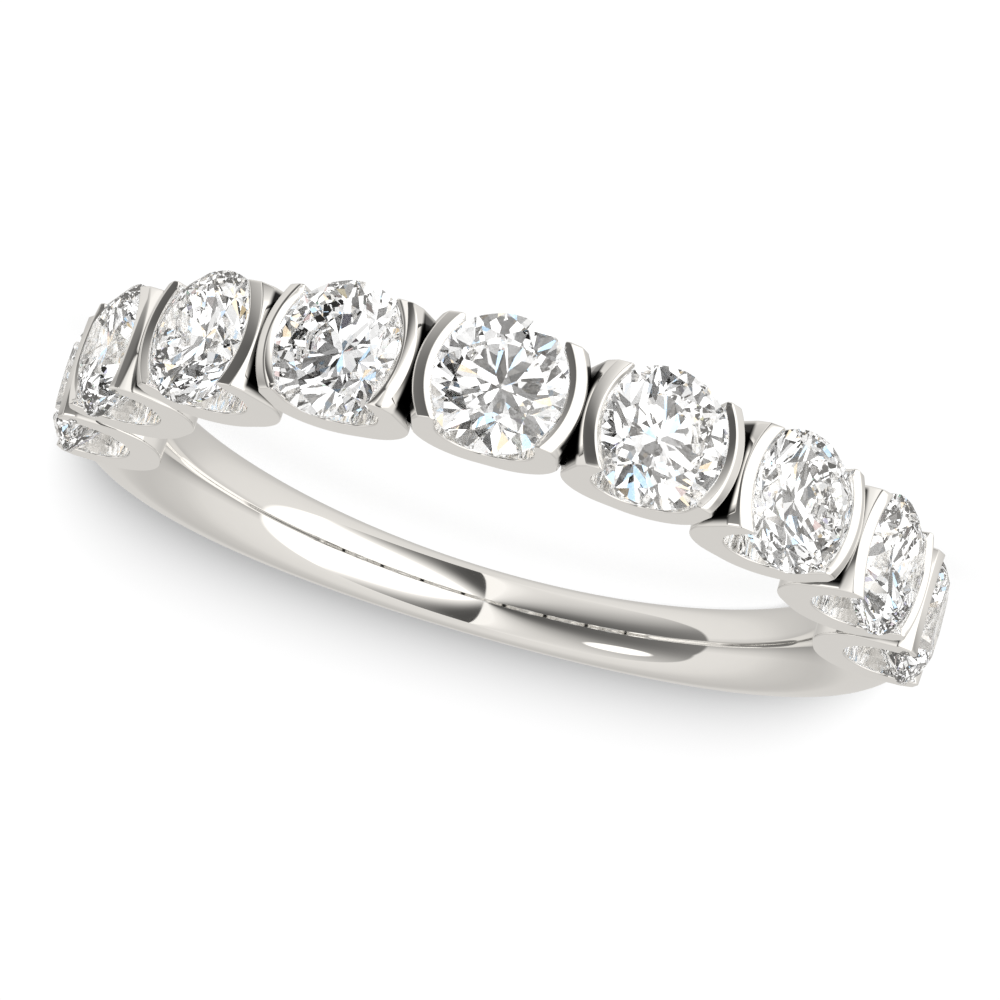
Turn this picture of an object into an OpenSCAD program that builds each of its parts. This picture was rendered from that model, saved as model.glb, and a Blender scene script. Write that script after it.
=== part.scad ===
// Diamond wedding band: nine round stones, each held between two bars that stand on an
// open U-shaped cup. The cups join side by side and an oval shank closes the loop.
// The ring lies on its side on its stones' edges: the finger axis is Z, the surface that it
// lies on is Z = 0 and the centre stone faces -Y.

/* [Stones] */
// Number of stones in the row
stone_count = 9; // [5:2:9]
// Diameter of each round stone
stone_d = 3.2; // [3.1:0.05:3.3]
// Table width as a share of the stone's diameter
table_share = 0.56; // [0.52:0.01:0.6]
// Angle of the crown's main facets
crown_angle = 34.5; // [32:0.5:36]
// Angle of the pavilion's main facets
pavilion_angle = 40.75; // [40:0.25:41.5]
// Thickness of the girdle at its thinnest
girdle_t = 0.096; // [0.06:0.01:0.12]
// Angle between one stone and the next, about the finger axis
pitch = 21.5; // [21.3:0.1:21.7]
// Distance from the finger axis to the stones' girdles
girdle_r = 10; // [9.9:0.05:10.1]
// Clear space between a stone and its seat
seat_gap = 0.03; // [0.02:0.01:0.05]

/* [Cups] */
// Width of a cup along the finger axis
cup_w = 2.52; // [2.4:0.02:2.6]
// Distance from the finger axis to the underside of a cup
cup_bottom_r = 7.835; // [7.8:0.005:7.9]
// Radius of the two round corners under a cup
corner_r = 1.467; // [1.4:0.01:1.5]
// Distance from a corner's centre to the middle of the cup
corner_t = 0.235; // [0.2:0.01:0.3]
// Half width of a cup across the middle of its barrel plan
barrel_half = 1.963; // [1.94:0.01:2]
// Radius of the barrel's side walls
barrel_r = 2.667; // [2.5:0.05:2.8]
// Radius of the notch under a stone
notch_r = 1.131; // [1.1:0.01:1.16]
// Distance from the finger axis to the notch's centre
notch_centre_r = 9.707; // [9.7:0.01:9.75]

/* [Bars] */
// How far a bar's arc is centred past the middle of the stone
bar_centre_t = 0.459; // [0.44:0.01:0.48]
// Radius of a bar's ridge in plan
ridge_plan_r = 2.1; // [2.08:0.01:2.14]
// Distance from the finger axis to the ridge
ridge_r = 10.335; // [10.3:0.005:10.4]
// Radius in plan of the inner edge that grips the stone
grip_plan_r = 1.92; // [1.9:0.01:1.94]
// Distance from the finger axis to the inner edge
grip_r = 10.165; // [10.15:0.005:10.2]
// Radius in plan of the inner bevel's lower edge
lip_plan_r = 1.94; // [1.92:0.01:1.96]
// Distance from the finger axis to the inner bevel's lower edge
lip_r = 10.235; // [10.2:0.005:10.26]
// Radius in plan of the outer bevel's lower edge
shoulder_plan_r = 2.34; // [2.3:0.01:2.36]
// Distance from the finger axis to the outer bevel's lower edge
shoulder_r = 10.2; // [10.16:0.01:10.22]

/* [Shank] */
// Distance from the finger axis to the shank's inner crest at the back
shank_inner_back = 8.1; // [8:0.02:8.2]
// Distance from the finger axis to the shank's inner crest at the cups
shank_inner_front = 7.94; // [7.9:0.02:8.1]
// Width of the shank at the back
shank_w_back = 1.68; // [1.6:0.02:2]
// Width of the shank where it meets the cups
shank_w_front = 2.44; // [2.2:0.02:2.48]
// Thickness of the shank at the back
shank_t_back = 1.46; // [1.4:0.02:1.8]
// Thickness of the shank where it meets the cups
shank_t_front = 2.42; // [2.2:0.02:2.44]
// Squareness of the oval section: 2 is an ellipse, more is squarer
shank_squareness = 2; // [2:0.1:2.6]

/* [Hidden] */
$fn = 96;

stone_r = stone_d / 2;
girdle_half = girdle_t / 2;
centre_stone = (stone_count + 1) / 2;
// Stone corners stand on a 16-sided belt round the true girdle circle
belt_sides = 16;
belt_step = 360 / belt_sides;
belt_r = stone_r / cos(belt_step / 2);
main_step = 45;
table_r = stone_d * table_share / 2 / cos(main_step / 2);
crown_h = (belt_r - table_r) * tan(crown_angle);
pavilion_h = belt_r * tan(pavilion_angle);
// Radii of the star tips on the crown and of the lower facets' tips on the pavilion
star_r = table_r + 0.48 * (stone_r - table_r);
star_z = girdle_half + (belt_r - star_r * cos(main_step / 2)) * tan(crown_angle);
tip_r = 0.24 * stone_r;
tip_z = -girdle_half - (belt_r - tip_r * cos(main_step / 2)) * tan(pavilion_angle);

corner_centre_r = cup_bottom_r + corner_r;
// The cup's sides leave the corner arcs at this angle and open out to the barrel walls
flare_angle = 20;
flare_half = 1.68;
flare_r = 9.0;
// One flare of each joint starts lower, so that neighbouring cups meet in a clean line
flare_step = 0.05;
full_r = 10;
arc_flats = 12;
// Below its outer bevel a bar falls steeply to this ring, outside the barrel walls
heel_plan_r = 2.46;
heel_r = 9.86;
plan_far = 3;
low_r = 7;
high_r = 11;

// The shank ends inside the first and the last cup
shank_stations = 48;
section_sides = 24;
row_half_angle = (stone_count - 1) / 2 * pitch;
shank_end_t = 0.6;
shank_half_angle = 180 - row_half_angle - asin(shank_end_t / girdle_r);

metal_colour = [0.83, 0.82, 0.8];
stone_colour = [0.9, 0.95, 1];

// Lifts the ring's middle plane so that the stones' edges touch Z = 0
module laid_down() {
    translate([0, 0, stone_r]) children();
}

// Sets children into the row: X runs along the row, Y is the finger axis, Z points outwards
module at_head(i) {
    rotate([0, 0, (centre_stone - i) * pitch]) rotate([90, 0, 0]) children();
}

// Points of an arc in the cup's outline plane, in short flats
function arc(centre_t, centre_r, radius, from, to) =
    [for (s = [0:arc_flats])
        let (a = from + (to - from) * s / arc_flats)
        [centre_t + radius * cos(a), centre_r + radius * sin(a)]];

// Cup outline seen along the finger axis: round corners below, flaring walls above
module cup_outline() {
    polygon(concat(
        arc(-corner_t, corner_centre_r, corner_r, 180 + flare_angle, 270),
        arc(corner_t, corner_centre_r, corner_r, 270, 360 - flare_angle),
        [
            [flare_half, flare_r],
            [plan_far, full_r],
            [plan_far, high_r],
            [-plan_far, high_r],
            [-plan_far, full_r],
            [-flare_half, flare_r - flare_step]
        ]
    ));
}

// Cup outline seen from above: two barrel walls between flat faces
module cup_plan() {
    intersection() {
        translate([barrel_r - barrel_half, 0]) circle(barrel_r);
        translate([barrel_half - barrel_r, 0]) circle(barrel_r);
        square([2 * plan_far, cup_w], center = true);
    }
}

// Roof of one bar as a body of revolution about the bar's own arc centre
module bar_roof(side) {
    intersection() {
        translate([-side * bar_centre_t, 0, 0]) rotate_extrude()
            polygon([
                [0, low_r],
                [0, grip_r],
                [grip_plan_r, grip_r],
                [lip_plan_r, lip_r],
                [ridge_plan_r, ridge_r],
                [shoulder_plan_r, shoulder_r],
                [heel_plan_r, heel_r],
                [plan_far, heel_r],
                [plan_far, low_r]
            ]);
        translate([side > 0 ? 0 : -2 * plan_far, -plan_far, low_r])
            cube([2 * plan_far, 2 * plan_far, high_r - low_r]);
    }
}

// One cup with its two bars, before the notch and the seat are cut
module head_blank() {
    intersection() {
        rotate([90, 0, 0]) linear_extrude(cup_w, center = true) cup_outline();
        translate([0, 0, low_r]) linear_extrude(high_r - low_r) cup_plan();
        union() {
            bar_roof(1);
            bar_roof(-1);
        }
    }
}

// Open notch below the stone, with straight walls up through the top
module notch() {
    rotate([90, 0, 0]) linear_extrude(cup_w + 1, center = true)
        polygon(concat(
            arc(0, notch_centre_r, notch_r, 180, 270),
            arc(0, notch_centre_r, notch_r, 270, 360),
            [[notch_r, high_r], [-notch_r, high_r]]
        ));
}

// Space of one stone with its clearance: it follows the sharp edges between the facets
module seat() {
    seat_r = stone_r + seat_gap;
    translate([0, 0, girdle_r]) rotate_extrude()
        polygon([
            [0, -girdle_half - pavilion_h - seat_gap],
            [tip_r, tip_z - seat_gap],
            [seat_r, -girdle_half - seat_gap],
            [seat_r, girdle_half + seat_gap],
            [star_r, star_z + seat_gap],
            [table_r, girdle_half + crown_h + seat_gap],
            [0, girdle_half + crown_h + seat_gap]
        ]);
}

// Size between its value at the back and its value at the cups
function grown(back, front, share) = back + (front - back) * share;

// Points of one oval section of the shank at an angle from the back of the ring
function shank_section(angle) =
    let (share = pow(sin(90 * angle / shank_half_angle), 2))
    let (half_w = grown(shank_w_back, shank_w_front, share) / 2)
    let (half_t = grown(shank_t_back, shank_t_front, share) / 2)
    let (middle_r = grown(shank_inner_back, shank_inner_front, share) + half_t)
    [for (k = [0:section_sides - 1])
        let (a = 360 * k / section_sides)
        let (u = sign(cos(a)) * pow(abs(cos(a)), 2 / shank_squareness))
        let (w = sign(sin(a)) * pow(abs(sin(a)), 2 / shank_squareness))
        let (r = middle_r + half_t * u)
        [r * sin(angle), r * cos(angle), half_w * w]];

module shank() {
    last = shank_stations - 1;
    points = [for (s = [0:last])
        each shank_section(shank_half_angle * (2 * s / last - 1))];
    walls = [for (s = [0:last - 1], k = [0:section_sides - 1])
        let (n = (k + 1) % section_sides, a = s * section_sides, b = a + section_sides)
        [a + k, b + k, b + n, a + n]];
    end_a = [for (k = [0:section_sides - 1]) k];
    end_b = [for (k = [section_sides - 1:-1:0]) last * section_sides + k];
    polyhedron(points, concat(walls, [end_a, end_b]));
}

module band() {
    color(metal_colour) laid_down() difference() {
        union() {
            shank();
            for (i = [1:stone_count]) at_head(i) head_blank();
        }
        for (i = [1:stone_count]) at_head(i) {
            notch();
            seat();
        }
    }
}

// Ring of points at one radius and height, one for each angle
function ring(r, z, angles) = [for (a = angles) [r * cos(a), r * sin(a), z]];

// Round brilliant: flat facets inside a true round girdle
module stone(i) {
    mains = [for (k = [0:7]) k * main_step];
    halves = [for (k = [0:7]) (k + 0.5) * main_step];
    belt = [for (k = [0:belt_sides - 1]) k * belt_step];
    points = concat(
        ring(table_r, girdle_half + crown_h, mains),
        ring(star_r, star_z, halves),
        ring(belt_r, girdle_half, belt),
        ring(belt_r, -girdle_half, belt),
        ring(tip_r, tip_z, halves),
        [[0, 0, -girdle_half - pavilion_h]]
    );
    table = 0;
    star = 8;
    upper = 16;
    lower = 32;
    tip = 48;
    culet = 56;
    faces = concat(
        [[for (k = [7:-1:0]) table + k]],
        [for (k = [0:7]) let (n = (k + 1) % 8) [table + k, table + n, star + k]],
        [for (k = [0:7]) let (p = (k + 7) % 8) [table + k, star + k, upper + 2 * k, star + p]],
        [for (k = [0:7]) [star + k, upper + 2 * k + 1, upper + 2 * k]],
        [for (k = [0:7]) [star + k, upper + (2 * k + 2) % 16, upper + 2 * k + 1]],
        [for (k = [0:15]) let (n = (k + 1) % 16) [upper + k, upper + n, lower + n, lower + k]],
        [for (k = [0:7]) [tip + k, lower + 2 * k, lower + 2 * k + 1]],
        [for (k = [0:7]) [tip + k, lower + 2 * k + 1, lower + (2 * k + 2) % 16]],
        [for (k = [0:7]) let (p = (k + 7) % 8) [culet, tip + p, lower + 2 * k, tip + k]]
    );
    color(stone_colour) laid_down() at_head(i) translate([0, 0, girdle_r]) intersection() {
        polyhedron(points, faces);
        cylinder(r = stone_r, h = 2 * (crown_h + pavilion_h), center = true);
    }
}

band();
for (i = [1:stone_count]) stone(i);
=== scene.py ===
"""Diamond wedding band: nine cups with their bars, an oval shank and nine round brilliants."""

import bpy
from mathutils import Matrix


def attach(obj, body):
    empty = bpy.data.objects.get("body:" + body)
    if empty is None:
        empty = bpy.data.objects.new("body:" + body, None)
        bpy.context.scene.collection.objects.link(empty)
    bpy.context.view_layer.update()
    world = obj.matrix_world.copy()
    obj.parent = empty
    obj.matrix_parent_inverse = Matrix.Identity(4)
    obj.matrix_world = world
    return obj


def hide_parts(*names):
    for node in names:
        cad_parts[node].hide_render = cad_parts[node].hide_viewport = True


bl_info = {
    "name": "Diamond Wedding Band",
    "version": (1, 0, 0),
    "blender": (4, 5, 0),
    "location": "3D View > Sidebar > Wedding Band",
    "description": "Builds a nine stone wedding band and a pale studio around it",
    "category": "Add Mesh",
}

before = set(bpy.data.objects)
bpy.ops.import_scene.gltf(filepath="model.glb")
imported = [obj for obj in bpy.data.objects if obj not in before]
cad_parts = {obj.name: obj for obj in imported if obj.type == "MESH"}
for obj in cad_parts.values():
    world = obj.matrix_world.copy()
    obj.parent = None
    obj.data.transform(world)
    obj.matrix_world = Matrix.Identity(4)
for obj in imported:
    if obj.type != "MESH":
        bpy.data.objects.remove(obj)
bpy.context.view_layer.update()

import math

import bmesh
import bpy
from bpy.props import FloatProperty, FloatVectorProperty, IntProperty, PointerProperty
from mathutils import Euler, Matrix, Vector

MM = 0.001
BAND_NODE = "band"
BODY = "root"


# Sizes and colours that a user would change


class StoneSizes(bpy.types.PropertyGroup):
    count: IntProperty(
        name="Stones", description="Number of stones in the row", default=9, min=1, max=9
    )
    diameter: FloatProperty(
        name="Diameter",
        description="Diameter of each round stone",
        default=3.2 * MM,
        unit="LENGTH",
        precision=5,
    )
    table_share: FloatProperty(
        name="Table", description="Table width as a share of the diameter", default=0.56
    )
    crown_angle: FloatProperty(
        name="Crown angle",
        description="Angle of the crown's main facets",
        default=math.radians(34.5),
        subtype="ANGLE",
    )
    pavilion_angle: FloatProperty(
        name="Pavilion angle",
        description="Angle of the pavilion's main facets",
        default=math.radians(40.75),
        subtype="ANGLE",
    )
    girdle: FloatProperty(
        name="Girdle",
        description="Thickness of the girdle at its thinnest",
        default=0.096 * MM,
        unit="LENGTH",
        precision=6,
    )
    pitch: FloatProperty(
        name="Pitch",
        description="Angle between one stone and the next",
        default=math.radians(21.5),
        subtype="ANGLE",
    )
    girdle_radius: FloatProperty(
        name="Girdle radius",
        description="Distance from the finger axis to the stones' girdles",
        default=10 * MM,
        unit="LENGTH",
        precision=5,
    )
    tint: FloatVectorProperty(
        name="Tint", description="Colour of the stones", default=(1, 1, 1), subtype="COLOR"
    )
    ior: FloatProperty(
        name="Index of refraction", description="How strongly a stone bends light", default=2.417
    )


class CupSizes(bpy.types.PropertyGroup):
    width: FloatProperty(
        name="Width",
        description="Width of a cup along the finger axis",
        default=2.52 * MM,
        unit="LENGTH",
        precision=5,
    )
    bottom_radius: FloatProperty(
        name="Underside",
        description="Distance from the finger axis to the underside of a cup",
        default=7.835 * MM,
        unit="LENGTH",
        precision=6,
    )
    corner_radius: FloatProperty(
        name="Corner radius",
        description="Radius of the two round corners under a cup",
        default=1.467 * MM,
        unit="LENGTH",
        precision=6,
    )
    corner_offset: FloatProperty(
        name="Corner offset",
        description="Distance from a corner's centre to the middle of the cup",
        default=0.235 * MM,
        unit="LENGTH",
        precision=6,
    )
    barrel_half: FloatProperty(
        name="Barrel half width",
        description="Half width of a cup across the middle of its barrel plan",
        default=1.963 * MM,
        unit="LENGTH",
        precision=6,
    )
    barrel_radius: FloatProperty(
        name="Barrel radius",
        description="Radius of the barrel's side walls",
        default=2.667 * MM,
        unit="LENGTH",
        precision=6,
    )
    notch_radius: FloatProperty(
        name="Notch radius",
        description="Radius of the notch under a stone",
        default=1.131 * MM,
        unit="LENGTH",
        precision=6,
    )
    notch_centre: FloatProperty(
        name="Notch centre",
        description="Distance from the finger axis to the notch's centre",
        default=9.707 * MM,
        unit="LENGTH",
        precision=6,
    )
    bar_centre: FloatProperty(
        name="Bar centre",
        description="How far a bar's arc is centred past the middle of the stone",
        default=0.459 * MM,
        unit="LENGTH",
        precision=6,
    )
    edge: FloatProperty(
        name="Edge rounding",
        description="Radius of the polished edges",
        default=0.04 * MM,
        unit="LENGTH",
        precision=6,
    )
    seat_gap: FloatProperty(
        name="Seat gap",
        description="Clear space between a stone and its seat",
        default=0.03 * MM,
        unit="LENGTH",
        precision=6,
    )


class ShankSizes(bpy.types.PropertyGroup):
    inner_back: FloatProperty(
        name="Inner radius at the back",
        description="Distance from the finger axis to the shank's inner crest at the back",
        default=8.1 * MM,
        unit="LENGTH",
        precision=5,
    )
    inner_front: FloatProperty(
        name="Inner radius at the cups",
        description="Distance from the finger axis to the shank's inner crest at the cups",
        default=7.94 * MM,
        unit="LENGTH",
        precision=5,
    )
    width_back: FloatProperty(
        name="Width at the back",
        description="Width of the shank at the back",
        default=1.68 * MM,
        unit="LENGTH",
        precision=5,
    )
    width_front: FloatProperty(
        name="Width at the cups",
        description="Width of the shank where it meets the cups",
        default=2.44 * MM,
        unit="LENGTH",
        precision=5,
    )
    thickness_back: FloatProperty(
        name="Thickness at the back",
        description="Thickness of the shank at the back",
        default=1.46 * MM,
        unit="LENGTH",
        precision=5,
    )
    thickness_front: FloatProperty(
        name="Thickness at the cups",
        description="Thickness of the shank where it meets the cups",
        default=2.42 * MM,
        unit="LENGTH",
        precision=5,
    )
    squareness: FloatProperty(
        name="Squareness", description="2 is an ellipse, more is squarer", default=2.0
    )


class FinishLook(bpy.types.PropertyGroup):
    metal: FloatVectorProperty(
        name="Metal", description="Colour of the white gold", default=(0.93, 0.924, 0.912),
        subtype="COLOR",
    )
    polish: FloatProperty(
        name="Roughness", description="Roughness of the polished metal", default=0.035
    )
    floor: FloatVectorProperty(
        name="Floor", description="Colour of the floor", default=(0.9, 0.9, 0.9), subtype="COLOR"
    )


# Shader maths


class Wire:
    """One output socket. Arithmetic on it adds Math nodes to its web."""

    def __init__(self, web, socket):
        self.web = web
        self.socket = socket

    def _math(self, operation, first, second=0.0):
        return self.web.add("ShaderNodeMath", {"operation": operation}, {0: first, 1: second})

    def __add__(self, other):
        return self._math("ADD", self, other)

    def __radd__(self, other):
        return self._math("ADD", other, self)

    def __sub__(self, other):
        return self._math("SUBTRACT", self, other)

    def __rsub__(self, other):
        return self._math("SUBTRACT", other, self)

    def __mul__(self, other):
        return self._math("MULTIPLY", self, other)

    def __rmul__(self, other):
        return self._math("MULTIPLY", other, self)

    def __truediv__(self, other):
        return self._math("DIVIDE", self, other)

    def __rtruediv__(self, other):
        return self._math("DIVIDE", other, self)

    def __neg__(self):
        return self._math("MULTIPLY", self, -1.0)

    def __abs__(self):
        return self._math("ABSOLUTE", self)

    def exp(self):
        return self._math("EXPONENT", self)

    def root(self):
        return self._math("SQRT", self)

    def degrees(self):
        return self._math("DEGREES", self)

    def arcsine(self):
        return self._math("ARCSINE", self)

    def angle_to(self, across):
        """Angle of the direction whose sine part is this value and cosine part the other."""
        return self._math("ARCTAN2", self, across)

    def to_and_fro(self, reach):
        """Runs from 0 to the reach and back again."""
        return self._math("PINGPONG", self, reach)

    def at_least(self, limit):
        return self._math("MAXIMUM", self, limit)

    def at_most(self, limit):
        return self._math("MINIMUM", self, limit)

    def smooth_step(self, start, end):
        """0 below start, 1 above end, and a smooth rise between them."""
        return self.web.add(
            "ShaderNodeMapRange",
            {"interpolation_type": "SMOOTHSTEP"},
            {"Value": self, "From Min": start, "From Max": end},
        )

    def curve(self, stops):
        """Straight pieces through (value, result) stops, as a ramp of greys."""
        low, high = stops[0][0], stops[-1][0]
        scale = max(result for _, result in stops)
        ramp = [((value - low) / (high - low), result / scale) for value, result in stops]
        place = (self - low) / (high - low)
        return self.web.add("ShaderNodeValToRGB", {"stops": ramp}, {"Fac": place}) * scale

    def blend(self, other, share):
        """This value where share is 0, the other where it is 1."""
        return self + (other - self) * share


class Web:
    """The node tree of one material or of the world, emptied."""

    def __init__(self, owner):
        owner.use_nodes = True
        self.tree = owner.node_tree
        self.tree.nodes.clear()

    def add(self, kind, settings=None, sockets=None, output=0):
        """Adds a node: its settings first, then the values or links of its sockets."""
        node = self.tree.nodes.new(kind)
        for name, value in (settings or {}).items():
            if name == "stops":
                self._set_stops(node.color_ramp, value)
            else:
                setattr(node, name, value)
        for name, value in (sockets or {}).items():
            if isinstance(value, Wire):
                self.tree.links.new(value.socket, node.inputs[name])
            else:
                node.inputs[name].default_value = value
        return Wire(self, node.outputs[output]) if len(node.outputs) else None

    def mixed(self, share, first, second):
        """The first colour where share is 0, the second where it is 1."""
        colours = {"Factor": share, 6: first, 7: second}
        return self.add("ShaderNodeMix", {"data_type": "RGBA"}, colours, output=2)

    def noise(self, place, scale, detail):
        """Smooth random values from 0 to 1 over a place."""
        values = {"Vector": place, "Scale": scale, "Detail": detail}
        return self.add("ShaderNodeTexNoise", None, values)

    def parts(self, vector):
        """The three numbers of a place or a direction."""
        return [self.add("ShaderNodeSeparateXYZ", None, {0: vector}, output=n) for n in range(3)]

    def _set_stops(self, ramp, stops):
        """Places a ramp's stops: (place, grey) or (place, red, green, blue)."""
        while len(ramp.elements) < len(stops):
            ramp.elements.new(1.0)
        for element, (place, *colour) in zip(ramp.elements, stops):
            element.position = place
            element.color = (*(colour * 3 if len(colour) == 1 else colour), 1)


# Materials

# The painted shade in the recess between two cups: its grey, and the pairs of places between
# which it fades
RECESS_SHADE_GREY = 0.012
RECESS_HALF = (0.2 * MM, 0.32 * MM)
RECESS_BOTTOM = (8.75 * MM, 8.95 * MM)
RECESS_TOP = 9.95 * MM
RECESS_NARROWING = 0.7
RECESS_SIDE = (1.1 * MM, 1.24 * MM)
RECESS_ROW_END = (9, 8)

# The waves and wear of the polish, and the floor's mottle
WAVE_SCALE = 800
WAVE_STRENGTH = 0.035
WAVE_HEIGHT = 0.1 * MM
WEAR_SCALE = 2500
WEAR_LEAST = 0.6
WEAR_SWING = 0.8
WORN_GAIN = 1.02
MOTTLE_SCALE = 40
MOTTLE_GAIN = 0.995


def recess_shade_mask(web, place, stones):
    """Painted shade: 1 deep in the gaps between neighbouring cups, 0 on the open faces."""
    pitch = math.degrees(stones.pitch)
    x, y, z = web.parts(place)
    out = (x * x + y * y).root()
    angle = x.angle_to(-y).degrees() + (0 if stones.count % 2 else pitch / 2)
    aside = (pitch / 2 - angle.to_and_fro(pitch / 2)) * out * math.radians(1)
    row_end = (pitch * stones.count / 2 - before for before in RECESS_ROW_END)
    in_row = 1 - abs(angle).smooth_step(*row_end)
    side = abs(z - stones.diameter / 2)
    narrow = aside + (out - RECESS_TOP).at_least(0) * RECESS_NARROWING
    deep = in_row * (1 - narrow.smooth_step(*RECESS_HALF)) * (1 - side.smooth_step(*RECESS_SIDE))
    return deep * out.smooth_step(*RECESS_BOTTOM)


def polished_metal(look, stones):
    """White gold with the faint waves that polishing leaves, and painted shade in the gaps
    between cups.
    """
    material = bpy.data.materials.new("polished_white_gold")
    web = Web(material)
    place = web.add("ShaderNodeTexCoord", output=3)
    waves = web.noise(place, WAVE_SCALE, 0)
    wear = web.noise(place, WEAR_SCALE, 3)
    raised = {"Height": waves, "Strength": WAVE_STRENGTH, "Distance": WAVE_HEIGHT}
    bump = web.add("ShaderNodeBump", None, raised)
    roughness = look.polish * WEAR_LEAST + wear * (look.polish * WEAR_SWING)
    shade = web.mixed(wear, (*look.metal, 1), (*(c * WORN_GAIN for c in look.metal), 1))
    # Painted shade: the metal's colour turns near black deep in the gaps between neighbouring
    # cups
    shade = web.mixed(recess_shade_mask(web, place, stones), shade, (RECESS_SHADE_GREY, RECESS_SHADE_GREY, RECESS_SHADE_GREY, 1))
    surface = web.add(
        "ShaderNodeBsdfPrincipled",
        None,
        {"Base Color": shade, "Metallic": 1.0, "Roughness": roughness, "Normal": bump},
    )
    web.add("ShaderNodeOutputMaterial", None, {"Surface": surface})
    return material


def clear_diamond(sizes):
    """Colourless diamond."""
    material = bpy.data.materials.new("clear_diamond")
    web = Web(material)
    surface = web.add(
        "ShaderNodeBsdfPrincipled",
        None,
        {
            "Base Color": (*sizes.tint, 1),
            "Roughness": 0.0,
            "IOR": sizes.ior,
            "Transmission Weight": 1.0,
        },
    )
    web.add("ShaderNodeOutputMaterial", None, {"Surface": surface})
    return material


def matt_floor(look):
    """Matt pale floor with a very faint mottle."""
    material = bpy.data.materials.new("matt_floor")
    web = Web(material)
    place = web.add("ShaderNodeTexCoord", output=3)
    mottle = web.noise(place, MOTTLE_SCALE, 2)
    shade = web.mixed(mottle, (*look.floor, 1), (*(c * MOTTLE_GAIN for c in look.floor), 1))
    surface = web.add(
        "ShaderNodeBsdfPrincipled",
        None,
        {"Base Color": shade, "Roughness": 1.0, "Specular IOR Level": 0.0},
    )
    web.add("ShaderNodeOutputMaterial", None, {"Surface": surface})
    return material


# Cups

# The outer side: a place (t, r) on its flare, and its slope beyond that
BARREL_LINE = (1.68 * MM, 9.0 * MM, 1.32)
FLARE_ANGLE = math.radians(20)
CORNER_FLATS = 14
HEEL_SLOPE = 2.833

# The bars: the radius of each edge's arc seen from above the stone, and its level
SHOULDER_PLAN = 2.34 * MM
SHOULDER_R = 10.2 * MM
RIDGE_PLAN = 2.1 * MM
RIDGE_R = 10.335 * MM
LIP_PLAN = 1.94 * MM
LIP_R = 10.235 * MM
GRIP_PLAN = 1.92 * MM
GRIP_R = 10.165 * MM
GRIP_STEP = 0.012 * MM
HALVINGS = 30

# The seat and the notch under the stone
SEAT_LEVELS = 12
SEAT_DEPTH = 0.47 * MM
NOTCH_FLATS = 14

# Slices along the finger axis, and how far each marked corner is rounded
CAP_STEPS = 4
SLICES = 56
ROUND_STEPS = 3
ROUND_GAIN = 1.2
ROUND_LOSS = 0.8
LEG_SHARE = 0.4
MITER_LEAST = 0.5
OUTER_ROUND = 0.8
LIP_ROUND = 0.4
GRIP_ROUND = 0.5

# Shares of the way: the star facets' ends from table to girdle, the lower halves' from culet
STAR_SHARE = 0.48
TIP_SHARE = 0.24


def brilliant(sizes):
    """Main measures of the round brilliant, from its girdle's middle plane."""
    radius = sizes.diameter / 2
    belt = radius / math.cos(math.pi / 16)
    table = radius * sizes.table_share / math.cos(math.pi / 8)
    half = sizes.girdle / 2
    star = table + STAR_SHARE * (radius - table)
    tip = TIP_SHARE * radius
    crown = math.tan(sizes.crown_angle)
    pavilion = math.tan(sizes.pavilion_angle)
    narrow = math.cos(math.pi / 8)
    return {
        "radius": radius,
        "belt": belt,
        "table": table,
        "half": half,
        "crown_h": (belt - table) * crown,
        "pavilion_h": belt * pavilion,
        "star": star,
        "star_z": half + (belt - star * narrow) * crown,
        "tip": tip,
        "tip_z": -half - (belt - tip * narrow) * pavilion,
    }


def seat_radius(gem, gap, girdle_r, r):
    """Radius of the space round a stone at a distance r from the finger axis."""
    wide = gem["radius"] + gap
    level = r - girdle_r
    top = gem["half"] + gap
    if level > top:
        run = (wide - gem["star"]) / (gem["star_z"] + gap - top)
        return wide - (level - top) * run
    if level < -top:
        run = (wide - gem["tip"]) / (-gem["tip_z"] + gap - top)
        return wide - (-top - level) * run
    return wide


def wall_in(sizes, gem, girdle_r, r, z):
    """Inner side of a cup at a level r and a place z along the finger axis."""
    low = sizes.notch_centre - r
    if low > 0:
        notch = math.sqrt(max(sizes.notch_radius**2 - low**2, 0))
    else:
        notch = sizes.notch_radius
    seat = seat_radius(gem, sizes.seat_gap, girdle_r, r)
    if seat > abs(z):
        return max(notch, math.sqrt(seat**2 - z**2))
    return notch


def plan_arc(sizes, plan, z):
    """Where a circle of a bar's plan stands at a place z."""
    return math.sqrt(plan**2 - z**2) - sizes.bar_centre


def bar_in(sizes, r, z):
    """Inner side of a bar at a level r and a place z: steep below its lip, a bevel above it."""
    if r < LIP_R:
        plan = GRIP_PLAN + (r - GRIP_R) * (LIP_PLAN - GRIP_PLAN) / (LIP_R - GRIP_R)
    else:
        plan = LIP_PLAN + (r - LIP_R) * (RIDGE_PLAN - LIP_PLAN) / (RIDGE_R - LIP_R)
    return plan_arc(sizes, plan, z)


def underside(sizes):
    """From the middle of the underside to the end of the round corner."""
    points = [(0, sizes.bottom_radius, 0)]
    centre_r = sizes.bottom_radius + sizes.corner_radius
    for step in range(CORNER_FLATS + 1):
        angle = -math.pi / 2 + (math.pi / 2 - FLARE_ANGLE) * step / CORNER_FLATS
        t = sizes.corner_offset + sizes.corner_radius * math.cos(angle)
        points.append((t, centre_r + sizes.corner_radius * math.sin(angle), 0))
    return points


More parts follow.
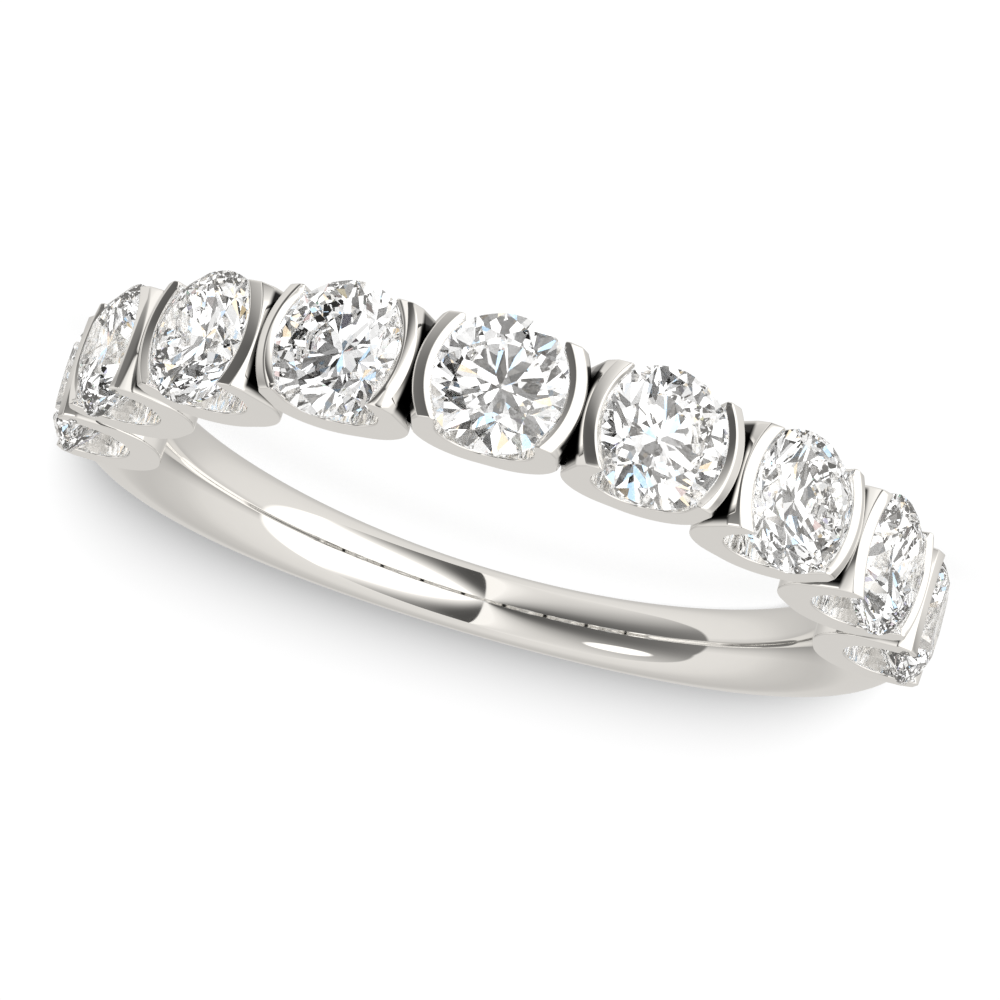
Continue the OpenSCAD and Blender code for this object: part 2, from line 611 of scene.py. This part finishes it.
def outer_side(sizes, end_t, end_r, z):
    """From the corner's end up the barrel's side and over the heel to the bar's ridge."""
    barrel = sizes.barrel_half - sizes.barrel_radius + math.sqrt(sizes.barrel_radius**2 - z**2)
    flare_t, flare_r, flare_run = BARREL_LINE
    if barrel > flare_t:
        points = [(flare_t, flare_r, 0)]
        wall_r = flare_r + (barrel - flare_t) / flare_run
    else:
        wall_r = end_r + (barrel - end_t) * (flare_r - end_r) / (flare_t - end_t)
        points = [((barrel + end_t) / 2, (wall_r + end_r) / 2, 0)]
    points.append((barrel, wall_r, 0))
    heel = math.hypot(barrel + sizes.bar_centre, z) - SHOULDER_PLAN
    heel_r = SHOULDER_R - heel * HEEL_SLOPE
    points.append((barrel, (wall_r + heel_r) / 2, 0))
    points.append((barrel, heel_r, OUTER_ROUND))
    points.append((plan_arc(sizes, SHOULDER_PLAN, z), SHOULDER_R, OUTER_ROUND))
    points.append((plan_arc(sizes, RIDGE_PLAN, z), RIDGE_R, OUTER_ROUND))
    return points


def grip_level(sizes, gem, girdle_r, z):
    """Lowest level at which the bar's inner side is clear of the stone's seat."""

    def clear(level):
        return bar_in(sizes, level, z) > wall_in(sizes, gem, girdle_r, level, z)

    low, high = GRIP_R, RIDGE_R
    if clear(low):
        return low
    for _ in range(HALVINGS):
        middle = (low + high) / 2
        if clear(middle):
            high = middle
        else:
            low = middle
    return high


def bar_side(sizes, grip, z):
    """From the bar's lip down to where it grips the stone."""
    lip = LIP_R if grip < LIP_R - GRIP_STEP else (grip + RIDGE_R) / 2
    return [(bar_in(sizes, lip, z), lip, LIP_ROUND), (bar_in(sizes, grip, z), grip, GRIP_ROUND)]


def inner_side(sizes, gem, girdle_r, grip, z):
    """From just under the grip down the seat and round to the middle of the notch."""
    top = girdle_r + gem["half"] + sizes.seat_gap
    bottom = girdle_r - gem["half"] - sizes.seat_gap
    foot = bottom - SEAT_DEPTH
    levels = [min(GRIP_R - GRIP_STEP / 10, grip - GRIP_STEP), top, girdle_r, bottom]
    for step in range(1, SEAT_LEVELS + 1):
        levels.append(bottom + (foot - bottom) * step / SEAT_LEVELS)
    points = [(wall_in(sizes, gem, girdle_r, level, z), level, 0) for level in levels]
    start = math.asin((foot - sizes.notch_centre) / sizes.notch_radius)
    for step in range(1, NOTCH_FLATS + 1):
        angle = start + (-math.pi / 2 - start) * step / NOTCH_FLATS
        t = sizes.notch_radius * math.cos(angle)
        points.append((t, sizes.notch_centre + sizes.notch_radius * math.sin(angle), 0))
    return points


def half_outline(sizes, gem, girdle_r, z):
    """Right half of a cup's outline at one place z: (t, r, corner rounding) from the middle of
    the underside, out and up over the bar, and down inside to the middle of the notch."""
    under = underside(sizes)
    end_t, end_r, _ = under[-1]
    grip = grip_level(sizes, gem, girdle_r, z)
    inside = bar_side(sizes, grip, z) + inner_side(sizes, gem, girdle_r, grip, z)
    return under + outer_side(sizes, end_t, end_r, z) + inside


def full_outline(half):
    """Both halves of an outline, counterclockwise from the middle of the underside."""
    mirrored = [(-t, r, c) for t, r, c in reversed(half[1:-1])]
    return half + mirrored


def inset(outline, amount):
    """Moves every side of a closed outline inwards by one amount."""
    moved = []
    count = len(outline)
    for n in range(count):
        before = Vector(outline[n - 1][:2])
        here = Vector(outline[n][:2])
        after = Vector(outline[(n + 1) % count][:2])
        a = (here - before).normalized()
        b = (after - here).normalized()
        in_a = Vector((-a.y, a.x))
        in_b = Vector((-b.y, b.x))
        miter = in_a + in_b
        scale = max(miter.length_squared / 2, MITER_LEAST)
        moved.append((*(here + miter * (amount / scale)), outline[n][2]))
    return moved


def rounded(outline, radius):
    """Replaces each marked corner by a short curve, and keeps the other points."""
    result = []
    count = len(outline)
    for n in range(count):
        here = Vector(outline[n][:2])
        if outline[n][2] == 0:
            result.append(here)
            continue
        reach = radius * outline[n][2]
        before = Vector(outline[n - 1][:2]) - here
        after = Vector(outline[(n + 1) % count][:2]) - here
        leg_a = min(reach, before.length * LEG_SHARE)
        leg_b = min(reach, after.length * LEG_SHARE)
        start = here + before.normalized() * leg_a
        end = here + after.normalized() * leg_b
        for step in range(ROUND_STEPS + 1):
            share = step / ROUND_STEPS
            near = start.lerp(here, share)
            far = here.lerp(end, share)
            result.append(near.lerp(far, share))
    return result


def cup_slices(sizes, gem, girdle_r):
    """Outlines of a cup from one end to the other: (z, closed outline)."""
    half = sizes.width / 2
    edge = sizes.edge
    places = []
    for step in range(CAP_STEPS):
        angle = math.pi / 2 * (1 - step / CAP_STEPS)
        places.append((half - edge + edge * math.sin(angle), edge * (1 - math.cos(angle))))
    flat = half - edge
    middle = [(flat - 2 * flat * n / SLICES, 0) for n in range(SLICES + 1)]
    ends = [(-z, amount) for z, amount in reversed(places)]
    slices = []
    for z, amount in places + middle + ends:
        full = full_outline(half_outline(sizes, gem, girdle_r, z))
        moved = inset(full, amount) if amount else full
        slices.append((z, rounded(moved, edge * ROUND_GAIN - amount * ROUND_LOSS)))
    return slices


def place_in_row(angle, lift):
    """Turns (t, r, z) of a cup into a place in the row's frame."""
    cos, sin = math.cos(angle), math.sin(angle)
    return lambda t, r, z: Vector((t * cos + r * sin, t * sin - r * cos, z + lift))


def loft(name, rings):
    """A closed skin over rings of points, with a flat face over each end."""
    mesh = bmesh.new()
    rows = [[mesh.verts.new(point) for point in ring] for ring in rings]
    count = len(rows[0])
    for low, high in zip(rows, rows[1:]):
        for n in range(count):
            m = (n + 1) % count
            mesh.faces.new((low[n], low[m], high[m], high[n]))
    mesh.faces.new(list(reversed(rows[0])))
    mesh.faces.new(rows[-1])
    bmesh.ops.recalc_face_normals(mesh, faces=mesh.faces)
    data = bpy.data.meshes.new(name)
    mesh.to_mesh(data)
    mesh.free()
    data.shade_smooth()
    piece = bpy.data.objects.new(name, data)
    bpy.context.scene.collection.objects.link(piece)
    return piece


def crisp(piece):
    """Lets the wide faces set the normals, so that the edges read as small rounds."""
    weighted = piece.modifiers.new("wide_faces_lead", "WEIGHTED_NORMAL")
    weighted.weight = 80
    weighted.keep_sharp = False


def cup_angle(stones, index):
    """Where a cup stands on the row, from the middle one towards +X."""
    return ((stones.count + 1) / 2 - index) * stones.pitch


def band_metal(scene):
    """The one metal material, made when it is first asked for."""
    known = bpy.data.materials.get("polished_white_gold")
    return known or polished_metal(scene.band_look, scene.band_stones)


class BAND_OT_cups(bpy.types.Operator):
    """Adds the nine open cups with their holding bars"""

    bl_idname = "band.cups"
    bl_label = "Add cups"

    def execute(self, context):
        stones = context.scene.band_stones
        sizes = context.scene.band_cups
        gem = brilliant(stones)
        slices = cup_slices(sizes, gem, stones.girdle_radius)
        metal = band_metal(context.scene)
        for index in range(1, stones.count + 1):
            place = place_in_row(cup_angle(stones, index), gem["radius"])
            rings = [[place(p.x, p.y, z) for p in outline] for z, outline in slices]
            cup = loft(f"cup_{index}", rings)
            cup.data.materials.append(metal)
            crisp(cup)
            cup.visible_diffuse = False
            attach(cup, BODY)
            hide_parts(BAND_NODE)
        return {"FINISHED"}


# Shank

STATIONS = 160
SECTION = 72

# From the middle of an end cup: where the shank stops growing, where it ends at its inner
# crest, and how much sooner it ends for each step outwards
GROWTH_END_T = 0.6 * MM
END_T = 0.75 * MM
END_SLANT = 0.461


def shank_section(sizes, station, reach, growth_end, lift):
    """One oval section. Its ends slant, so that they stay inside the first and the last cup."""

    def grown(back, front, angle):
        share = math.sin(math.pi / 2 * angle / growth_end) ** 2
        return back + (front - back) * share

    def spot(angle, a):
        half_w = grown(sizes.width_back, sizes.width_front, angle) / 2
        half_t = grown(sizes.thickness_back, sizes.thickness_front, angle) / 2
        middle = grown(sizes.inner_back, sizes.inner_front, angle) + half_t
        power = 2 / sizes.squareness
        u = math.copysign(abs(math.cos(a)) ** power, math.cos(a))
        w = math.copysign(abs(math.sin(a)) ** power, math.sin(a))
        return middle + half_t * u, half_w * w

    ring = []
    for n in range(SECTION):
        a = 2 * math.pi * n / SECTION
        r = spot(station * growth_end, a)[0]
        end_t = END_T + END_SLANT * (r - sizes.inner_front)
        angle = station * (reach - math.asin(end_t / r))
        r, z = spot(angle, a)
        ring.append(Vector((r * math.sin(angle), r * math.cos(angle), z + lift)))
    return ring


def floor_shades():
    """The collection of pieces that keep the key light off the floor."""
    name = "shades_the_floor"
    return bpy.data.collections.get(name) or bpy.data.collections.new(name)


class BAND_OT_shank(bpy.types.Operator):
    """Adds the oval shank that closes the ring behind"""

    bl_idname = "band.shank"
    bl_label = "Add shank"

    def execute(self, context):
        stones = context.scene.band_stones
        sizes = context.scene.band_shank
        reach = math.pi - (stones.count - 1) / 2 * stones.pitch
        growth_end = reach - math.asin(GROWTH_END_T / stones.girdle_radius)
        lift = stones.diameter / 2
        rings = [
            shank_section(sizes, 2 * n / STATIONS - 1, reach, growth_end, lift)
            for n in range(STATIONS + 1)
        ]
        shank = loft("shank", rings)
        shank.data.materials.append(band_metal(context.scene))
        crisp(shank)
        floor_shades().objects.link(shank)
        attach(shank, BODY)
        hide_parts(BAND_NODE)
        return {"FINISHED"}


# Stones

GIRDLE_SIDES = 96

# How far each stone is turned about its own axis, in degrees
TURNS = (0, 7, 15, 3, 11, 19, 5, 13, 1)


def ring_point(radius, z, angle):
    """A place on a circle about the stone's axis."""
    return Vector((radius * math.cos(angle), radius * math.sin(angle), z))


def facet_planes(gem):
    """(point, outward normal) of every facet of a round brilliant."""
    step = math.pi / 4
    half = step / 2
    top = gem["half"] + gem["crown_h"]
    corners = [[Vector((0, 0, top)), Vector((1, 0, top)), Vector((0, 1, top))]]
    for k in range(8):
        a = k * step
        table_a = ring_point(gem["table"], top, a)
        table_b = ring_point(gem["table"], top, a + step)
        star = ring_point(gem["star"], gem["star_z"], a + half)
        star_before = ring_point(gem["star"], gem["star_z"], a - half)
        belt = [ring_point(gem["belt"], gem["half"], a + half * n) for n in range(3)]
        low = [ring_point(gem["belt"], -gem["half"], a + half * n) for n in range(3)]
        tip = ring_point(gem["tip"], gem["tip_z"], a + half)
        tip_before = ring_point(gem["tip"], gem["tip_z"], a - half)
        culet = Vector((0, 0, -gem["half"] - gem["pavilion_h"]))
        corners.append([table_a, table_b, star])
        corners.append([star_before, star, table_a])
        corners.append([star, belt[0], belt[1]])
        corners.append([star, belt[1], belt[2]])
        corners.append([tip, low[0], low[1]])
        corners.append([tip, low[1], low[2]])
        corners.append([culet, tip_before, tip])
    planes = []
    for a, b, c in corners:
        normal = (b - a).cross(c - a).normalized()
        if normal.dot(a) < 0:
            normal.negate()
        planes.append((a, normal))
    return planes


def cut_stone(gem):
    """Mesh of one stone: a many sided girdle cut by flat facets."""
    mesh = bmesh.new()
    height = gem["crown_h"] + gem["pavilion_h"] + gem["belt"]
    bmesh.ops.create_cone(
        mesh,
        cap_ends=True,
        segments=GIRDLE_SIDES,
        radius1=gem["radius"],
        radius2=gem["radius"],
        depth=2 * height,
    )
    for point, normal in facet_planes(gem):
        every = mesh.verts[:] + mesh.edges[:] + mesh.faces[:]
        cut = bmesh.ops.bisect_plane(
            mesh, geom=every, dist=1e-9, plane_co=point, plane_no=normal, clear_outer=True
        )
        rim = [e for e in cut["geom_cut"] if isinstance(e, bmesh.types.BMEdge)]
        if rim:
            bmesh.ops.contextual_create(mesh, geom=rim)
    bmesh.ops.recalc_face_normals(mesh, faces=mesh.faces)
    data = bpy.data.meshes.new("round_brilliant")
    mesh.to_mesh(data)
    mesh.free()
    return data


class BAND_OT_stones(bpy.types.Operator):
    """Adds the nine round brilliants"""

    bl_idname = "band.stones"
    bl_label = "Add stones"

    def execute(self, context):
        stones = context.scene.band_stones
        gem = brilliant(stones)
        cut = cut_stone(gem)
        cut.materials.append(clear_diamond(stones))
        for index in range(1, stones.count + 1):
            data = cut.copy()
            turn = Matrix.Rotation(math.radians(TURNS[index - 1]), 4, "Z")
            stand = Matrix.Rotation(math.pi / 2, 4, "X")
            around = Matrix.Rotation(cup_angle(stones, index), 4, "Z")
            up = Matrix.Translation((0, 0, gem["radius"]))
            out = Matrix.Translation((0, 0, stones.girdle_radius))
            data.transform(up @ around @ stand @ out @ turn)
            stone = bpy.data.objects.new(f"round_stone_{index}", data)
            context.scene.collection.objects.link(stone)
            stone.visible_diffuse = False
            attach(stone, BODY)
            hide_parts(f"stone_{index}")
        bpy.data.meshes.remove(cut)
        return {"FINISHED"}


# Stage

# The camera, as fitted to the outline of the ring in the photo
CAMERA_AZIMUTH = math.radians(-4.623)
CAMERA_ELEVATION = math.radians(15.168)
CAMERA_ROLL = math.radians(163.225)
CAMERA_PLACE = (-12.351 * MM, -157.538 * MM, 44.286 * MM)
CAMERA_LENS = 254.689
CAMERA_SHIFT = (0.01414, -0.00213)
SENSOR = 36
CLIP = (10 * MM, 10)

# The floor and the light on it
FLOOR_HALF = 2.0
KEY_ENERGY = 11.6
KEY_ANGLE = math.radians(9)
KEY_ELEVATION = math.radians(11)
KEY_AZIMUTH = math.radians(-7)
ROOM_LIGHT = 0.45

# What the metal mirrors, in degrees of azimuth from -Y towards +X and of elevation.
# A bright screen on the -X side meets a dark one on the +X side. Each is a list of (place,
# grey) from its middle line outwards. A small bright spot stands above the dark one.
MEETING = (-1.2, -0.4)
BRIGHT_END = (-90, -87)
BRIGHT_LEVEL = 1.7
BRIGHT_TAPER = 17
BRIGHT_SPREAD = 64
BRIGHT_SCREEN = (
    (-10, 1.35), (-6, 1.0), (0, 0.76), (5, 0.56), (10, 0.38), (15, 0.25), (20, 0.16), (27, 0.11),
    (40, 0.09),
)
DARK_END = 84
DARK_LEAN_FROM = 25
DARK_LEAN = 0.35
DARK_LEVEL = 4
DARK_TAPER = 20
DARK_SPREAD = 36
DARK_SPREAD_LEAST = 0.5
DARK_EDGE = (-1, 1)
DARK_FADE = 0.1 / 6400
DARK_SCREEN = (
    (0, 0.11), (0.4, 0.115), (0.6, 0.15), (0.8, 0.22), (1, 0.333), (1.2, 0.44), (1.4, 0.53),
    (1.6, 0.62), (1.8, 0.7), (2.2, 0.8), (3, 0.95), (5, 1.13),
)
SPOT_AT = (61, 45)
SPOT_HALF = (15, 9)
SPOT_EDGE = (0.9, 1.1)
SPOT_GLOW = 1.4

# The pale room around the screens: its grey by azimuth, by height and towards the back
ROOM_LEVEL = 2
ROOM = ((0, 0.9), (90, 0.89), (110, 0.86), (130, 0.84), (180, 0.84))
ROOM_DIP = ((0, 0.5), (4, 0.68), (8, 0.85), (14, 1.0), (90, 1.02))
DIP_END = (140, 165)
BEHIND = (0.087, 0.996)
ROOM_BEHIND = (
    (-1, 1), (0.3, 1), (0.44, 0.975), (0.55, 0.905), (0.65, 0.83), (0.72, 0.8), (0.78, 0.775),
    (0.85, 0.74), (0.9, 0.745), (0.94, 0.8), (0.965, 0.893), (1, 0.893),
)
WARM = (0.914, 0.889, 0.852, 1)

# What the stones refract: patches of grey and colour, and one grey for the deepest rays
DEEP_GREY = 1.5
DEEP_PASSES = (2.5, 3.5)
DEEP_BOUNCES = (5, 10)
PATCHES = 4.6
PATCH_SHIFT = (5.2, 2.1, 3.8)
PATCH_GREYS = (
    (0, 0), (0.31, 0.012), (0.315, 0.07), (0.39, 0.2), (0.395, 0.8), (0.57, 1.1), (0.575, 1.4),
    (1, 2),
)
PATCH_TINTS = (
    (0, 1, 1, 1), (0.88, 1, 1, 1), (0.882, 0.5, 0.72, 0.95), (0.925, 0.5, 0.72, 0.95),
    (0.927, 0.5, 0.48, 0.64), (0.945, 0.5, 0.48, 0.64), (0.947, 0.45, 0.32, 0.31),
    (0.962, 0.45, 0.32, 0.31), (0.964, 0.36, 0.29, 0.11), (0.976, 0.36, 0.29, 0.11),
    (0.978, 0.3, 0.6, 0.45), (0.986, 0.3, 0.6, 0.45), (0.988, 0.75, 0.62, 0.45),
    (1, 0.75, 0.62, 0.45),
)


def mirror_view(web, place):
    """Grey that the metal mirrors: a pale room with a bright and a dark screen."""
    x, y, z = web.parts(place)
    azimuth = x.angle_to(-y).degrees()
    elevation = z.arcsine().degrees()

    off_axis = abs(elevation - BRIGHT_LEVEL)
    edge = (1 - (azimuth / BRIGHT_TAPER).exp()) * BRIGHT_SPREAD
    bright = (off_axis - edge).curve(BRIGHT_SCREEN)
    bright_mask = azimuth.smooth_step(*BRIGHT_END) * (1 - azimuth.smooth_step(*MEETING))

    off_axis = abs(elevation - DARK_LEVEL)
    scale = ((1 - (-azimuth / DARK_TAPER).exp()) * DARK_SPREAD).at_least(DARK_SPREAD_LEAST)
    dark = (off_axis / scale).curve(DARK_SCREEN) + azimuth * azimuth * DARK_FADE
    reach = (elevation - DARK_LEAN_FROM).at_least(0) * DARK_LEAN + DARK_END
    dark_mask = azimuth.smooth_step(*MEETING) * (1 - (azimuth - reach).smooth_step(*DARK_EDGE))

    aside = (azimuth - SPOT_AT[0]) / SPOT_HALF[0]
    above = (elevation - SPOT_AT[1]) / SPOT_HALF[1]
    spot = 1 - (aside * aside + above * above).root().smooth_step(*SPOT_EDGE)

    behind = (x * BEHIND[0] + y * BEHIND[1]).curve(ROOM_BEHIND)
    dip = abs(elevation - ROOM_LEVEL).curve(ROOM_DIP)
    dip = dip.blend(1, abs(azimuth).smooth_step(*DIP_END))
    room = abs(azimuth).curve(ROOM) * dip * behind
    return room.blend(bright, bright_mask).blend(dark, dark_mask).blend(SPOT_GLOW, spot)


def studio_world():
    """Plain white room for the eye, screens for the metal and small patches for the stones."""
    world = bpy.data.worlds.new("studio")
    web = Web(world)
    place = web.add("ShaderNodeTexCoord")
    shifted = web.add("ShaderNodeVectorMath", {"operation": "ADD"}, {0: place, 1: PATCH_SHIFT})
    cells = web.add("ShaderNodeTexVoronoi", None, {"Vector": shifted, "Scale": PATCHES}, output=1)
    luck, kind, _ = (
        web.add("ShaderNodeSeparateColor", None, {"Color": cells}, output=n) for n in range(3)
    )
    passes = web.add("ShaderNodeLightPath", output="Transmission Depth")
    bounces = web.add("ShaderNodeLightPath", output="Ray Depth")
    deep = passes.smooth_step(*DEEP_PASSES).at_least(bounces.smooth_step(*DEEP_BOUNCES))
    patches = luck.curve(PATCH_GREYS).blend(DEEP_GREY, deep)
    tint = web.add("ShaderNodeValToRGB", {"stops": PATCH_TINTS}, {"Fac": kind})

    for_camera = web.add("ShaderNodeLightPath", output="Is Camera Ray")
    unspread = 1 - web.add("ShaderNodeLightPath", output="Diffuse Depth").at_most(1)
    for_mirrors = web.add("ShaderNodeLightPath", output="Is Glossy Ray") * unspread
    for_glass = web.add("ShaderNodeLightPath", output="Is Transmission Ray") * unspread
    grey = for_camera * (1 - ROOM_LIGHT) + ROOM_LIGHT
    grey = grey.blend(mirror_view(web, place), for_mirrors).blend(patches, for_glass)
    colour = web.mixed(for_mirrors, (1, 1, 1, 1), WARM)
    colour = web.mixed(for_glass, colour, tint)
    backdrop = web.add("ShaderNodeBackground", None, {"Color": colour, "Strength": grey})
    web.add("ShaderNodeOutputWorld", None, {"Surface": backdrop})
    world.cycles.sampling_method = "NONE"
    return world


def add_floor(scene):
    """Matt sheet at the height that the stones touch, unseen in the ring's reflections."""
    ends = ((-1, -1), (1, -1), (1, 1), (-1, 1))
    corners = [(x * FLOOR_HALF, y * FLOOR_HALF, 0) for x, y in ends]
    sheet = bpy.data.meshes.new("studio_floor")
    sheet.from_pydata(corners, [], [(0, 1, 2, 3)])
    sheet.materials.append(matt_floor(scene.band_look))
    floor = bpy.data.objects.new("studio_floor", sheet)
    floor.visible_glossy = False
    floor.visible_transmission = False
    scene.collection.objects.link(floor)


def add_key_light(scene):
    """One low light from the front, which the shank alone keeps off the floor."""
    data = bpy.data.lights.new("key_light", "SUN")
    data.energy = KEY_ENERGY
    data.angle = KEY_ANGLE
    key = bpy.data.objects.new("key_light", data)
    key.rotation_euler = Euler((math.pi / 2 - KEY_ELEVATION, 0, KEY_AZIMUTH))
    key.visible_glossy = False
    key.visible_transmission = False
    key.light_linking.blocker_collection = floor_shades()
    scene.collection.objects.link(key)


def add_camera(scene):
    """Camera with the photo's view and framing."""
    lens = bpy.data.cameras.new("camera")
    lens.lens = CAMERA_LENS
    lens.sensor_width = SENSOR
    lens.shift_x, lens.shift_y = CAMERA_SHIFT
    lens.clip_start, lens.clip_end = CLIP
    camera = bpy.data.objects.new("camera", lens)
    camera.location = CAMERA_PLACE
    level = Euler((math.pi / 2 - CAMERA_ELEVATION, 0, CAMERA_AZIMUTH)).to_matrix()
    roll = Matrix.Rotation(-CAMERA_ROLL, 3, "Z")
    camera.rotation_euler = (level @ roll).to_euler()
    scene.collection.objects.link(camera)
    scene.camera = camera


class BAND_OT_stage(bpy.types.Operator):
    """Adds the pale floor, the soft light and the camera"""

    bl_idname = "band.stage"
    bl_label = "Add stage"

    def execute(self, context):
        scene = context.scene
        add_floor(scene)
        add_key_light(scene)
        scene.world = studio_world()
        add_camera(scene)
        scene.view_settings.view_transform = "Standard"
        scene.cycles.max_bounces = 24
        scene.cycles.glossy_bounces = 12
        scene.cycles.transmission_bounces = 20
        return {"FINISHED"}


class BAND_PT_sidebar(bpy.types.Panel):
    bl_idname = "BAND_PT_sidebar"
    bl_label = "Wedding band"
    bl_space_type = "VIEW_3D"
    bl_region_type = "UI"
    bl_category = "Wedding Band"

    def draw(self, context):
        layout = self.layout
        for settings in ("band_stones", "band_cups", "band_shank", "band_look"):
            group = getattr(context.scene, settings)
            box = layout.box()
            for name in group.__annotations__:
                box.prop(group, name)
        for operator in OPERATORS:
            layout.operator(operator.bl_idname)


SETTINGS = {
    "band_stones": StoneSizes,
    "band_cups": CupSizes,
    "band_shank": ShankSizes,
    "band_look": FinishLook,
}
OPERATORS = (BAND_OT_stage, BAND_OT_cups, BAND_OT_shank, BAND_OT_stones)
CLASSES = (*SETTINGS.values(), *OPERATORS, BAND_PT_sidebar)


def register():
    for each in CLASSES:
        bpy.utils.register_class(each)
    for name, group in SETTINGS.items():
        setattr(bpy.types.Scene, name, PointerProperty(type=group))


def unregister():
    for name in SETTINGS:
        delattr(bpy.types.Scene, name)
    for each in reversed(CLASSES):
        bpy.utils.unregister_class(each)


def main():
    register()
    bpy.ops.band.stage()
    bpy.ops.band.cups()
    bpy.ops.band.shank()
    bpy.ops.band.stones()


if __name__ == "__main__":
    main()
